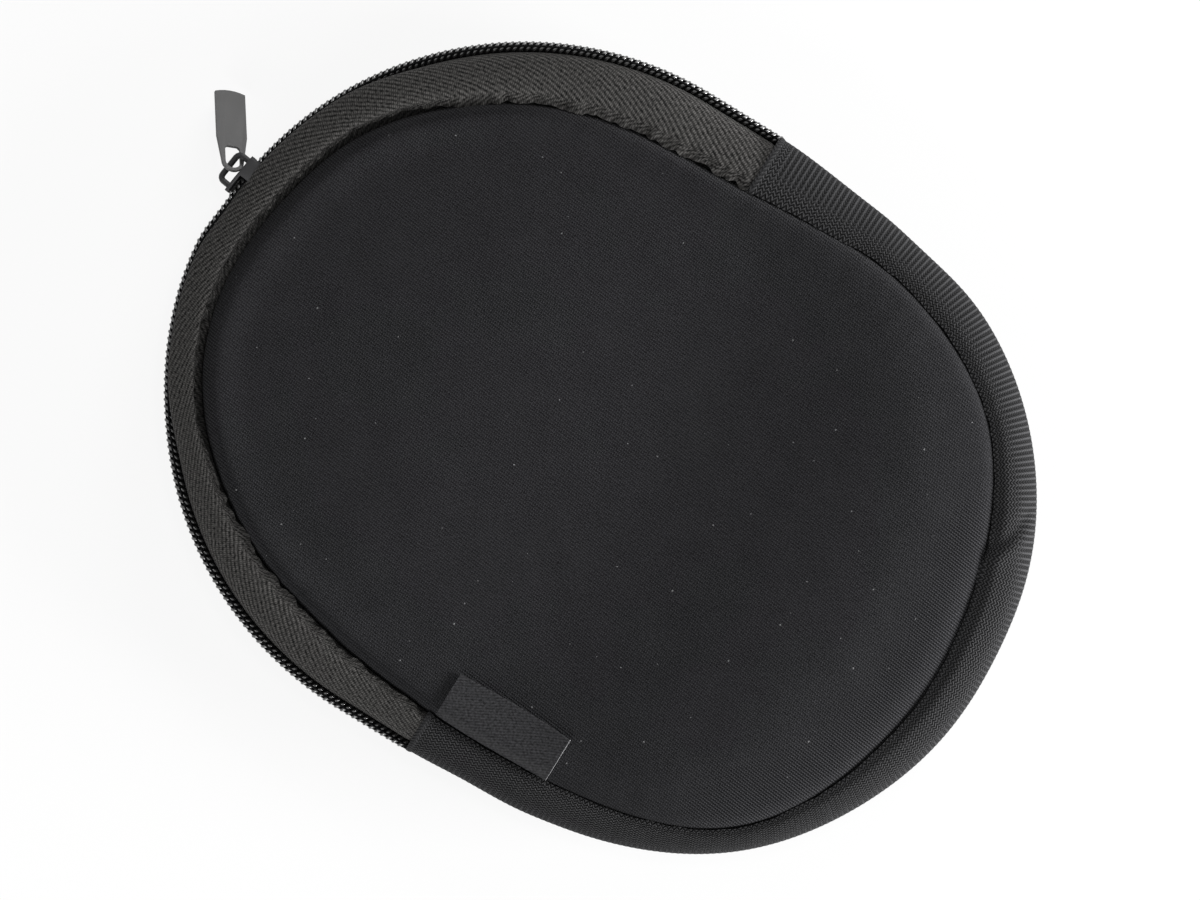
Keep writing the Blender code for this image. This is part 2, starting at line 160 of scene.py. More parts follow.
def wander(values, length, seed):  # a slow wave
    waves = [noise.noise(Vector((value / length, seed, 0.37))) for value in np.ravel(values)]
    return np.reshape(waves, np.shape(values))


def lengthAcross(radius, height):  # measured along a profile from its first point
    return np.concatenate([[0], np.cumsum(np.hypot(np.diff(radius), np.diff(height)))])


def weaveGrid(run, across):
    return np.stack(np.broadcast_arrays(run[None, :], across[:, None]), axis=-1)


def course(s, run, start, radius):  # a straight, a half turn and a straight
    s = np.asarray(s, float)
    arc = pi * radius
    straight = abs(run)
    turn = np.clip(s - straight, 0, arc) / radius
    back = np.clip(s - straight - arc, 0, None)
    return np.sign(run) * (np.minimum(s, straight) - back), start + turn


def zipCourse(s, radius):
    return course(s, -zipRun, pi / 2, radius)


def spineCourse(s, radius):
    return course(s, spineRun, -pi / 2, radius)


def zipLength(radius):
    return 2 * zipRun + pi * radius


def spineLength(radius):
    return 2 * spineRun + pi * radius


def loopPlace(s, straight, radius):  # the same place measured along the outer edge
    arc = pi * radius
    turned = np.clip(s - straight, 0, arc) / radius * endRadius
    return np.minimum(s, straight) + turned + np.clip(s - straight - arc, 0, None)


def wholeCourse(count, radius):  # all the way round, first station met again at the end
    left = np.linspace(0, zipLength(radius), count // 2 + 1)
    right = np.linspace(0, spineLength(radius), count // 2 + 1)[1:]
    leftX, leftTurn = zipCourse(left, radius)
    rightX, rightTurn = spineCourse(right, radius)
    centre = np.concatenate([leftX, rightX])
    turn = np.concatenate([leftTurn, rightTurn + 2 * pi])
    run = np.concatenate([left, right + left[-1]])
    zipLoop = spineLength(endRadius) + loopPlace(left, zipRun, radius)
    loop = np.concatenate([zipLoop, loopPlace(right, spineRun, radius)])
    return centre, turn, run, loop


def sweepSpots(centre, turn, radius, height):  # radius and height: rows, columns
    across = centre + radius * np.cos(turn)
    return np.stack([across, radius * np.sin(turn), height + 0 * radius], axis=-1)


# where the sewing leaves the even outline: place on the loop, reach and shift outwards, in mm
strays = {
    "seam": (
        (8, 28, 2.4),
        (83, 36, 5.6),
        (174, 24, -1.4),
        (226, 20, 1.2),
        (342, 47, -3.6),
        (427, 20, 1.3),
        (493, 43, 4.4),
        (577, 16, -1.0),
    ),
    "webbingEdge": ((24, 10, 0.8), (83, 26, 1.1), (163, 20, -0.9), (270, 15, -1.4)),
}
wholeLoop = spineLength(endRadius) + zipLength(endRadius)


def strayShift(loop, line):  # the loop starts at the lower end of the webbing
    shift = np.zeros(np.shape(loop))
    for place, reach, outward in strays[line]:
        apart = (loop - place * mm + wholeLoop / 2) % wholeLoop - wholeLoop / 2
        shift += outward * mm * bell(apart, 0, reach * mm)
    return shift


# shader steps
def feed(tree, socket, value):  # a number or a colour is set, anything else is linked
    if isinstance(value, tuple):
        socket.default_value = (*value, 1)
    elif isinstance(value, (int, float)):
        socket.default_value = value
    else:
        tree.links.new(value, socket)


def mathStep(tree, operation, *values):
    node = tree.nodes.new("ShaderNodeMath")
    node.operation = operation
    for socket, value in zip(node.inputs, values):
        feed(tree, socket, value)
    return node.outputs[0]


def times(tree, first, second):
    return mathStep(tree, "MULTIPLY", first, second)


def scaled(tree, value, factor, added):
    return mathStep(tree, "MULTIPLY_ADD", value, factor, added)


def wave(tree, distance, pitch):  # 0 to 1 and back over one pitch
    phase = times(tree, mathStep(tree, "DIVIDE", distance, pitch), 2 * pi)
    return scaled(tree, mathStep(tree, "SINE", phase), 0.5, 0.5)


def cloud(tree, vector, scale, detail):
    node = tree.nodes.new("ShaderNodeTexNoise")
    node.inputs["Detail"].default_value = detail
    feed(tree, node.inputs["Scale"], scale)
    feed(tree, node.inputs["Vector"], vector)
    return node.outputs["Fac"]


def looseThread(tree, vector, scale, detail, size):  # strays by half of size to either side
    centred = mathStep(tree, "SUBTRACT", cloud(tree, vector, scale, detail), 0.5)
    return times(tree, centred, size)


def splitVector(tree, vector):
    node = tree.nodes.new("ShaderNodeSeparateXYZ")
    feed(tree, node.inputs[0], vector)
    return node.outputs


def newGroup(name, outputs, **values):  # a vector and named values go in
    tree = bpy.data.node_groups.new(name, "ShaderNodeTree")
    sockets = tree.interface
    sockets.new_socket("Vector", in_out="INPUT", socket_type="NodeSocketVector")
    for key, value in values.items():
        socket = sockets.new_socket(key, in_out="INPUT", socket_type="NodeSocketFloat")
        socket.default_value = value
    for key in outputs:
        sockets.new_socket(key, in_out="OUTPUT", socket_type="NodeSocketFloat")
    given = tree.nodes.new("NodeGroupInput").outputs
    return tree, given, tree.nodes.new("NodeGroupOutput").inputs


jersey = {"rowShare": 0.8, "lean": 0.22, "slope": 0.12}  # the ridges run a little off the long axis


def buildJersey():
    tree, given, out = newGroup("jerseyKnit", ["Ridge", "Stitch"], Pitch=0.67 * mm)
    x, y, _ = splitVector(tree, given["Vector"])
    rows = wave(tree, x, times(tree, given["Pitch"], jersey["rowShare"]))
    lean = times(tree, rows, times(tree, given["Pitch"], jersey["lean"]))
    level = scaled(tree, x, jersey["slope"], mathStep(tree, "ADD", y, lean))
    ridge = wave(tree, level, given["Pitch"])
    feed(tree, out["Ridge"], ridge)
    feed(tree, out["Stitch"], times(tree, ridge, rows))
    return tree


twillWeave = {
    "steep": 0.906,
    "lean": 0.42,  # turns to the other side past the turning line
    "fine": 0.55, "crossing": 0.9,
    "looseness": 0.4, "looseScale": 420.0,
    "plainEdge": 900.0, "plainLeast": 0.12,
}


def buildTwill():
    tree, given, out = newGroup("herringboneTwill", ["Thread", "Cross"], Pitch=1.0 * mm, Turn=1.0)
    u, v, _ = splitVector(tree, given["Vector"])
    steep, lean = twillWeave["steep"], twillWeave["lean"]
    slack = times(tree, given["Pitch"], twillWeave["looseness"])
    drift = looseThread(tree, given["Vector"], twillWeave["looseScale"], 3.0, slack)
    turned = mathStep(tree, "GREATER_THAN", v, given["Turn"])
    slant = scaled(tree, v, steep, times(tree, u, scaled(tree, turned, -2 * lean, lean)))
    thread = wave(tree, mathStep(tree, "ADD", slant, drift), given["Pitch"])
    crossed = scaled(tree, u, steep, times(tree, v, -lean))
    fine = wave(tree, crossed, times(tree, given["Pitch"], twillWeave["fine"]))
    shown = mathStep(tree, "MINIMUM", times(tree, v, twillWeave["plainEdge"]), 1.0)
    shown = mathStep(tree, "MAXIMUM", shown, twillWeave["plainLeast"])
    thread = scaled(tree, mathStep(tree, "SUBTRACT", thread, 0.5), shown, 0.5)
    feed(tree, out["Thread"], thread)
    crossing = scaled(tree, fine, twillWeave["crossing"], 1 - twillWeave["crossing"])
    feed(tree, out["Cross"], times(tree, thread, crossing))
    return tree


pebbleWeave = {
    "looseScale": 620.0, "slope": 0.1,
    "driftAlong": 0.4, "driftAcross": -0.35,
    "knot": 0.35,
}


def buildPebble():
    inputs = {"Along": 0.7 * mm, "Across": 1.0 * mm, "Zigzag": 0.8}
    tree, given, out = newGroup("pebbleWeave", ["Bead"], **inputs)
    u, v, _ = splitVector(tree, given["Vector"])
    along = given["Along"]
    drift = looseThread(tree, given["Vector"], pebbleWeave["looseScale"], 2.0, along)
    lean = scaled(tree, along, 0.25, scaled(tree, v, pebbleWeave["slope"], u))
    lean = scaled(tree, drift, pebbleWeave["driftAlong"], lean)
    level = scaled(tree, drift, pebbleWeave["driftAcross"], v)
    level = scaled(tree, mathStep(tree, "PINGPONG", u, along), given["Zigzag"], level)
    knots = scaled(tree, wave(tree, lean, along), pebbleWeave["knot"], 1 - pebbleWeave["knot"])
    feed(tree, out["Bead"], times(tree, knots, wave(tree, level, given["Across"])))
    return tree


lintSize = 0.035  # the largest speck, as a share of its cell


def buildLint():
    tree, given, out = newGroup("lintSpecks", ["Speck"], Spread=150.0, Rare=0.93)
    cells = tree.nodes.new("ShaderNodeTexVoronoi")
    cells.voronoi_dimensions = "2D"
    feed(tree, cells.inputs["Vector"], given["Vector"])
    feed(tree, cells.inputs["Scale"], given["Spread"])
    draw = tree.nodes.new("ShaderNodeSeparateColor")
    feed(tree, draw.inputs[0], cells.outputs["Color"])
    chosen = mathStep(tree, "GREATER_THAN", draw.outputs[0], given["Rare"])
    size = times(tree, draw.outputs[1], lintSize)
    inside = mathStep(tree, "LESS_THAN", cells.outputs["Distance"], size)
    feed(tree, out["Speck"], times(tree, chosen, inside))
    return tree


grainClouds = {"Grain": (1.0, 3.0), "Patch": (0.06, 2.0)}  # share of the scale, detail


def buildGrain():
    tree, given, out = newGroup("fineGrain", list(grainClouds), Scale=900.0)
    for key, (share, detail) in grainClouds.items():
        scale = times(tree, given["Scale"], share)
        feed(tree, out[key], cloud(tree, given["Vector"], scale, detail))
    return tree


groups = {
    "jersey": buildJersey(),
    "twill": buildTwill(),
    "pebble": buildPebble(),
    "lint": buildLint(),
    "grain": buildGrain(),
}


# steps that the finishes share
def startFinish(name, settings):
    finish = bpy.data.materials.new(name)
    finish.use_nodes = True
    tree = finish.node_tree
    shader = tree.nodes["Principled BSDF"]
    for key, value in settings.items():
        shader.inputs[key].default_value = value
    return finish, tree, shader


def useGroup(tree, key, vector, **values):
    node = tree.nodes.new("ShaderNodeGroup")
    node.node_tree = groups[key]
    feed(tree, node.inputs["Vector"], vector)
    for name, value in values.items():
        node.inputs[name].default_value = value
    return node.outputs


def blendColours(tree, factor, first, second):
    node = tree.nodes.new("ShaderNodeMix")
    node.data_type = "RGBA"
    sockets = [socket for socket in node.inputs if socket.type == "RGBA"]
    for socket, value in zip(sockets, (first, second)):
        feed(tree, socket, value)
    feed(tree, node.inputs[0], factor)
    return [socket for socket in node.outputs if socket.type == "RGBA"][0]


def pressBump(tree, shader, height, distance):
    bump = tree.nodes.new("ShaderNodeBump")
    bump.inputs["Strength"].default_value = 1.0
    bump.inputs["Distance"].default_value = distance
    feed(tree, bump.inputs["Height"], height)
    feed(tree, shader.inputs["Normal"], bump.outputs["Normal"])


def coordinates(tree, kind):
    return tree.nodes.new("ShaderNodeTexCoord").outputs[kind]


def readMark(tree, name):
    node = tree.nodes.new("ShaderNodeAttribute")
    node.attribute_name = name
    return node.outputs["Fac"]


# in each look: the two tones, how much each pattern counts and what is taken off their sum
neopreneLook = {
    "valley": (0.0060, 0.0060, 0.0066),
    "ridge": (0.0380, 0.0380, 0.0407),
    "lint": (0.15, 0.15, 0.153),
    "pitch": 0.67 * mm, "grainScale": 1800.0, "lintRare": 0.8,
    "patch": 0.22, "stitch": 0.7, "grain": 0.95, "less": -0.38,
    "rows": 1.0,  # knit rows that show where the cloth is stretched, with painted grazing light: lighter ridges, darker gaps
    "rowsLess": -0.55,
    "bump": 0.15 * mm, "stitchBump": 0.6,
    "settings": {
        "Roughness": 0.92,
        "Specular IOR Level": 0.06,
        "Sheen Weight": 0.03,
        "Sheen Roughness": 0.35,
    },
}


def neopreneFinish():
    look = neopreneLook
    finish, tree, shader = startFinish("neopreneJersey", look["settings"])
    place = coordinates(tree, "UV")
    knit = useGroup(tree, "jersey", place, Pitch=look["pitch"])
    grain = useGroup(tree, "grain", place, Scale=look["grainScale"])
    lint = useGroup(tree, "lint", place, Rare=look["lintRare"])
    mixed = scaled(tree, knit["Stitch"], look["stitch"], look["less"])
    mixed = scaled(tree, grain["Patch"], look["patch"], mixed)
    mixed = scaled(tree, grain["Grain"], look["grain"], mixed)
    # knit ridges lighter and gaps darker on the stretched rim: partly the stretched knit, partly
    # painted grazing light
    rows = scaled(tree, knit["Ridge"], look["rows"], look["rowsLess"] * look["rows"])
    mixed = scaled(tree, rows, readMark(tree, "stretchedAndLit"), mixed)
    cloth = blendColours(tree, mixed, look["valley"], look["ridge"])
    cloth = blendColours(tree, lint["Speck"], cloth, look["lint"])
    feed(tree, shader.inputs["Base Color"], cloth)
    raised = scaled(tree, knit["Stitch"], look["stitchBump"], knit["Ridge"])
    pressBump(tree, shader, raised, look["bump"])
    return finish


tapeLook = {
    "valley": (0.0050, 0.0049, 0.0047),
    "thread": (0.134, 0.130, 0.125),
    "pitch": 0.94 * mm, "turn": 11.6 * mm, "grainScale": 1500.0,
    "cross": 0.56, "grain": 1.25, "less": -0.5,
    "bump": 0.07 * mm, "threadBump": 1.0, "crossBump": 0.5,
    "settings": {"Roughness": 0.85, "Specular IOR Level": 0.1, "Sheen Weight": 0.02},
}
bindingLook = tapeLook | {
    "valley": (0.006, 0.006, 0.0065),
    "thread": (0.028, 0.028, 0.03),
    "pitch": 0.7 * mm,
    "turn": 1.0,  # past the strip, so its twill never turns
}
labelLook = {
    "valley": (0.003, 0.003, 0.0034),
    "thread": (0.048, 0.048, 0.0512),
    # painted highlight: the label's cut end is coloured pale
    "cutEdgeHighlight": (0.45, 0.45, 0.46),
    "pitch": 0.6 * mm, "turn": 1.0, "grainScale": 1700.0,
    "cross": 0.5, "grain": 1.6, "less": -0.6,
    "bump": 0.03 * mm, "threadBump": 0.0, "crossBump": 1.0,
    "settings": {"Roughness": 0.6, "Specular IOR Level": 0.12},
}


def twillFinish(name, look):
    finish, tree, shader = startFinish(name, look["settings"])
    place = coordinates(tree, "UV")
    twill = useGroup(tree, "twill", place, Pitch=look["pitch"], Turn=look["turn"])
    grain = useGroup(tree, "grain", place, Scale=look["grainScale"])
    mixed = scaled(tree, grain["Grain"], look["grain"], look["less"])
    mixed = scaled(tree, twill["Cross"], look["cross"], mixed)
    cloth = blendColours(tree, mixed, look["valley"], look["thread"])
    # painted highlight over the label's cut end
    if "cutEdgeHighlight" in look:
        cloth = blendColours(tree, readMark(tree, "cutEdgeHighlight"), cloth, look["cutEdgeHighlight"])
    feed(tree, shader.inputs["Base Color"], cloth)
    height = times(tree, twill["Cross"], look["crossBump"])
    height = scaled(tree, twill["Thread"], look["threadBump"], height)
    pressBump(tree, shader, height, look["bump"])
    return finish


webbingLook = {
    "valley": (0.0030, 0.0030, 0.0033),
    "bead": (0.045, 0.045, 0.0465),
    # painted highlight: the crown of each rib is coloured lighter
    "ribHighlight": (0.046, 0.046, 0.0478),
    # painted shade: the hem band at each end is coloured darker
    "hem": (0.020, 0.020, 0.021),
    "along": 0.7 * mm, "across": 0.74 * mm, "zigzag": 0.8,
    "ribPitch": 1.4 * mm, "ribSharp": 5.0,
    "ribHides": 0.68,  # share of the weave lost on the ribs
    "grainScale": 1300.0,
    "beadShare": 2.0, "grain": 0.4, "less": -0.78, "hemGrain": 0.5,
    "bump": 0.25 * mm,
    "settings": {"Roughness": 0.78, "Specular IOR Level": 0.1},
}


def webbingFinish():
    look = webbingLook
    finish, tree, shader = startFinish("ribbedWebbing", look["settings"])
    place = coordinates(tree, "UV")
    pattern = {"Along": look["along"], "Across": look["across"], "Zigzag": look["zigzag"]}
    weave = useGroup(tree, "pebble", place, **pattern)
    grain = useGroup(tree, "grain", place, Scale=look["grainScale"])
    ribbed = readMark(tree, "ribbed")
    u = splitVector(tree, place)[0]
    # painted highlight along each rib's crown, on the ribbed band
    crown = wave(tree, mathStep(tree, "ADD", u, look["ribPitch"] / 4), look["ribPitch"])
    rib = times(tree, mathStep(tree, "POWER", crown, look["ribSharp"]), ribbed)
    plain = mathStep(tree, "SUBTRACT", 1.0, times(tree, ribbed, look["ribHides"]))
    mixed = scaled(tree, grain["Grain"], look["grain"], look["less"])
    mixed = scaled(tree, weave["Bead"], look["beadShare"], mixed)
    cloth = blendColours(tree, times(tree, mixed, plain), look["valley"], look["bead"])
    cloth = blendColours(tree, rib, cloth, look["ribHighlight"])
    # painted shade over the hem band at both ends, broken up by grain
    hemShade = scaled(tree, grain["Grain"], look["hemGrain"], 1 - look["hemGrain"])
    hemmed = times(tree, readMark(tree, "hem"), hemShade)
    feed(tree, shader.inputs["Base Color"], blendColours(tree, hemmed, cloth, look["hem"]))
    pressBump(tree, shader, times(tree, weave["Bead"], plain), look["bump"])
    return finish


nylonLook = {
    "dark": (0.018, 0.0178, 0.0175),
    "light": (0.056, 0.0555, 0.055),
    "scale": 600.0, "patch": 1.0, "grain": 0.0,
    "settings": {
        "Roughness": 0.22,
        "Specular IOR Level": 0.9,
        "Coat Weight": 0.35,
        "Coat Roughness": 0.12,
    },
}
cordLook = {
    "dark": (0.001, 0.001, 0.0012),
    "light": (0.010, 0.010, 0.0105),
    "scale": 2400.0, "patch": 0.0, "grain": 1.0, "bump": 0.08 * mm,
    "settings": {"Roughness": 0.95, "Specular IOR Level": 0.04},
}
sliderLook = {
    "dark": (0.010, 0.010, 0.0105),
    "light": (0.026, 0.026, 0.0275),
    "scale": 2200.0, "patch": 0.6, "grain": 0.4,
    "roughen": 0.25, "bump": 0.01 * mm,
    "settings": {"Metallic": 0.25, "Specular IOR Level": 0.3, "Roughness": 0.28},
}
tabLook = sliderLook | {
    "dark": (0.078, 0.0773, 0.0773),
    "light": (0.128, 0.127, 0.127),
    "settings": {"Metallic": 0.12, "Specular IOR Level": 0.2, "Roughness": 0.42},
}


def grainyFinish(name, look):
    finish, tree, shader = startFinish(name, look["settings"])
    grain = useGroup(tree, "grain", coordinates(tree, "Object"), Scale=look["scale"])
    mixed = times(tree, grain["Grain"], look["grain"])
    mixed = scaled(tree, grain["Patch"], look["patch"], mixed)
    tone = blendColours(tree, mixed, look["dark"], look["light"])
    feed(tree, shader.inputs["Base Color"], tone)
    if "roughen" in look:
        rough = scaled(tree, grain["Grain"], look["roughen"], look["settings"]["Roughness"])
        feed(tree, shader.inputs["Roughness"], rough)
    if "bump" in look:
        pressBump(tree, shader, grain["Grain"], look["bump"])
    return finish


finishes = {
    "neoprene": neopreneFinish(),
    "tape": twillFinish("zipTapeTwill", tapeLook),
    "binding": twillFinish("seamBindingTwill", bindingLook),
    "webbing": webbingFinish(),
    "nylon": grainyFinish("coilNylon", nylonLook),
    "cord": grainyFinish("fillerCord", cordLook),
    "slider": grainyFinish("sliderPaint", sliderLook),
    "tab": grainyFinish("gunmetalTab", tabLook),
    "label": twillFinish("labelSatin", labelLook),
}


def dress(piece, finish, nodes):
    piece.data.materials.clear()
    piece.data.materials.append(finishes[finish])
    if nodes:
        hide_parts(*nodes)


def finishCloth(piece, finish, nodes):
    weld(piece)
    smooth(piece)
    dress(piece, finish, nodes)


print("finishes ready,", len(finishes))

# the two padded panels
panel = {
    "wall": 3.5 * mm,
    "rings": 30,
    "ringSpread": 2.2,  # rings lie closer together near the rim
    "innerRings": 14,
    "stations": 320,
    "rimDrop": 6.0 * mm, "rimDepth": 1.7 * mm,
    "tuckOut": 0.3 * mm, "tuckDown": 0.9 * mm,
    "underRun": 14 * mm,
    # at the zip: a round lip, a dip behind it, then a low dome
    "lip": 3.1 * mm, "lipRun": 3.5 * mm, "lipEdge": 2.4,
    "dip": 0.6 * mm, "dipRun": 6.5 * mm,
    "dome": 1.1 * mm,
    # at the webbing: a longer climb to a crest, a hollow past it, lower towards the middle
    "spineRim": 0.9 * mm, "spineLip": 1.9 * mm, "spineEdge": 3.0,
    "crest": 3.2 * mm, "crestSide": 12 * mm, "crestEnd": 14 * mm,
    "hollow": 1.0 * mm, "hollowRun": 40 * mm,
    "rise": 4.2 * mm, "riseFrom": 2 * mm, "riseRun": 66 * mm,
    "fullFrom": -45 * mm,  # where the one form passes into the other
    "fullOver": 75 * mm,
    "rimSink": 0.3 * mm, "sinkRun": 2.6 * mm,
    "valley": 1.3 * mm, "valleyRun": 5.5 * mm, "valleyAt": 158 * mm, "valleyReach": 46 * mm,
    # unevenness of the foam, and small gathers at the seam
    "swell": 0.3 * mm, "swellWide": 50 * mm, "swellSmall": 20 * mm, "swellShare": 0.4,
    "swellRun": 14 * mm,
    "pucker": 0.08 * mm, "puckerPitch": 7.0 * mm, "puckerDrift": 40 * mm, "puckerFade": 25 * mm,
    "puckerWidth": 13 * mm, "puckerOver": 9 * mm, "puckerFree": 1.5 * mm,
    # cloth that is pulled tight over the rim, whose knit rows get painted grazing light
    "strayRun": 38 * mm,
    "pulledAndLitRun": (62 * mm, 26 * mm, 186 * mm, 26 * mm),
    "pulledAndLitRim": 16 * mm,
    "foldReach": 9 * mm,
    "floorRoll": 16.4 * mm, "floorSteps": 16, "floorSwell": 0.6,  # the back panel
}


def panelSwell(x, y, r):
    wide, small = panel["swellWide"], panel["swellSmall"]
    soft = []
    for a, b in zip(np.ravel(x), np.ravel(y)):
        slow = noise.noise(Vector((a / wide, b / wide, 0.2)))
        quick = noise.noise(Vector((a / small, b / small, 3.1)))
        soft.append(slow + panel["swellShare"] * quick)
    faded = ease((panelRadius - r) / panel["swellRun"])
    return panel["swell"] * np.reshape(soft, np.shape(x)) * faded


def panelHeight(x, y, r):  # r: distance from the long axis
    inward = panelRadius - r
    rim = topZ - panel["rimDrop"]
    toRim = 1 - np.clip(inward / panel["lipRun"], 0, 1)
    dip = ease((inward - panel["lipRun"]) / panel["dipRun"])
    start = panel["lipRun"] + panel["dipRun"]
    dome = np.clip((inward - start) / (panelRadius - start), 0, 1)
    zipSide = rim + panel["lip"] * (1 - toRim ** panel["lipEdge"])
    zipSide += panel["dome"] * dome * (2 - dome) - panel["dip"] * dip
    beyond = np.clip(x - spineRun, 0, None)
    atEnd = beyond**2 / np.maximum(beyond**2 + y**2, mm**2)
    crest = panel["crestSide"] + panel["crestEnd"] * atEnd
    climb = np.clip(inward / crest, 0, 1)
    climb = (climb - climb**4 / 4) / 0.75  # level where it reaches the crest
    spineSide = rim + panel["spineRim"] + panel["spineLip"] * (1 - toRim ** panel["spineEdge"])
    spineSide += panel["crest"] * climb
    spineSide -= panel["hollow"] * ease((inward - crest) / panel["hollowRun"])
    risen = ease((x - panel["riseFrom"]) / panel["riseRun"])
    spineSide -= panel["rise"] * (1 - risen) * ease(inward / crest)
    weight = ease((x - panel["fullFrom"]) / panel["fullOver"])
    underTape = (1 - ease(inward / panel["sinkRun"])) * (1 - ease(x / panel["sinkRun"]))
    height = zipSide + (spineSide - zipSide) * weight - panel["rimSink"] * underTape
    return height + panelSwell(x, y, r)


def rimStray(r, loop):  # the seam's shift, spread over the cloth next to it
    spread = ease(1 - (panelRadius - r) / panel["strayRun"])
    return strayShift(loop, "seam") * spread


def foldAcross(piece):  # bakes the placement into the points
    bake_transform(piece)


def frontPanel():
    radius = panelRadius
    centre, turn, run, loop = wholeCourse(panel["stations"], radius)
    share = 1 - (1 - np.linspace(0, 1, panel["rings"])) ** panel["ringSpread"]
    innerShare = share[:: panel["rings"] // panel["innerRings"]][::-1]
    innerR = (radius - panel["rimDepth"]) * innerShare
    innerR[-1] = 0
    tuckR = radius + panel["tuckOut"]
    profileR = np.concatenate([radius * share, [tuckR], innerR])[:, None] * np.ones(len(turn))
    x = centre + profileR * np.cos(turn)
    y = profileR * np.sin(turn)
    fromRim = radius - profileR
    profileZ = panelHeight(x, y, profileR)
    # the inside follows the outside at the wall's distance, and meets it at the rim
    tuck = panel["rings"]  # the row sewn against the gusset
    rimLow = topZ - panel["rimDrop"] - panel["rimDepth"]
    inside = (profileZ - panel["wall"] - rimLow) * ease(fromRim / panel["underRun"])
    profileZ[tuck + 1 :] = rimLow + inside[tuck + 1 :]
    profileZ[tuck] = profileZ[tuck - 1] - panel["tuckDown"]
    # gathers along the seam, and a rim that sinks deeper at the far end
    phase = 2 * pi * run / panel["puckerPitch"] + 5 * wander(run, panel["puckerDrift"], 1.3)
    gathers = np.sin(phase) * (0.5 + wander(run, panel["puckerFade"], 4.1))
    near = ease((panel["puckerWidth"] - fromRim) / panel["puckerOver"])
    near *= 1 - ease((panel["puckerFree"] - fromRim) / panel["puckerFree"])
    spineLoop = loop % wholeLoop
    valley = panel["valley"] * bell(spineLoop, panel["valleyAt"], panel["valleyReach"])
    valley = valley * (1 - ease(fromRim / panel["valleyRun"]))
    outside = np.arange(len(profileR))[:, None] <= tuck
    profileZ += np.where(outside, panel["pucker"] * gathers * near - valley, 0)
    spots = sweepSpots(centre, turn, profileR + rimStray(profileR, loop), profileZ)
    piece = formGrid("frontPanel", spots, spots[..., :2])
    # the stretched rim, where the knit rows get painted grazing light
    atRim = ease((panel["pulledAndLitRim"] - fromRim) / (0.8 * panel["pulledAndLitRim"]))
    mark(piece, "stretchedAndLit", between(spineLoop, *panel["pulledAndLitRun"]) * atRim)
    finishCloth(piece, "neoprene", ["front_panel", "front_flap"])
    foldAcross(piece)


def backPanel():
    radius = panelRadius
    rimZ = panel["rimDrop"]
    roll = panel["floorRoll"]
    flat = radius - roll
    centre, turn, _, _ = wholeCourse(panel["stations"], radius)
    swing = np.linspace(0, pi / 2, panel["floorSteps"])
    rings = flat * np.array([0, 0.25, 0.5, 0.75])
    outerR = np.concatenate([rings, flat + roll * np.sin(swing)])
    outerZ = np.concatenate([np.zeros(len(rings)), rimZ * (1 - np.cos(swing))])
    back = swing[::-1]
    innerRise = rimZ + panel["rimDepth"] - panel["wall"]
    innerR = np.concatenate([flat + (roll - panel["rimDepth"]) * np.sin(back), rings[::-1]])
    innerZ = panel["wall"] + innerRise * (1 - np.cos(back))
    innerZ = np.concatenate([innerZ, np.full(len(rings), panel["wall"])])
    profileR = np.concatenate([outerR, [radius + panel["tuckOut"]], innerR])[:, None]
    profileZ = np.concatenate([outerZ, [rimZ + panel["tuckDown"]], innerZ])[:, None]
    profileR = profileR * np.ones(len(turn))
    x = centre + profileR * np.cos(turn)
    y = profileR * np.sin(turn)
    inside = np.arange(len(profileR))[:, None] > len(outerR)
    uneven = panel["floorSwell"] * panelSwell(x, y, profileR)
    spots = np.stack([x, y, profileZ + np.where(inside, uneven, 0)], axis=-1)
    piece = formGrid("backPanel", spots, spots[..., :2])
    finishCloth(piece, "neoprene", ["back_panel"])
    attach(piece, "pouch")


frontPanel()
backPanel()
print("panels formed")

# the gusset: zip tape on one round end, webbing on the other
gusset = {
    "halfHeight": 7.8 * mm, "width": 10.7 * mm, "power": 0.8,
    "packed": 1.35,  # steps lie closer together near the seam
    "turnIn": 3.4 * mm, "roll": 1.1 * mm, "seamRoll": 2.6 * mm,
    "overlap": 1.3 * mm,  # webbing over the ends of the tape
    "belly": 1.2 * mm,  # past the slider the loose chain stands out
    "bellyRun": (149 * mm, 13 * mm, 162 * mm, 50 * mm),
}
tape = {
    "cloth": 0.8 * mm,
    "edge": 1.1 * mm,
    "steps": 26, "stations": 520,
    "seamDrop": 1.9 * mm,
    "nearSeam": 3.2 * mm,
    "frontWave": 1.0 * mm, "backWave": 0.3 * mm,
    "shortWave": 2.4 * mm, "longWave": 9 * mm,
    "waveRise": 0.6,
    "ripple": 0.3 * mm, "rippleRun": 15 * mm,
    "bulge": 2.0 * mm,  # stands out over the coil
    "bulgeRun": (80 * mm, 32 * mm, 190 * mm, 26 * mm, 0.85),
    "bulgeAt": 4.6 * mm, "bulgeReach": 2.2 * mm,
    "flatter": 1.1 * mm,  # the seam lies flatter towards the ends
    "rolled": 0.7,
    "rolledRun": (20 * mm, 50 * mm, 185 * mm, 35 * mm),
    "tuck": 0.7 * mm, "tuckRun": 1.2 * mm,
}


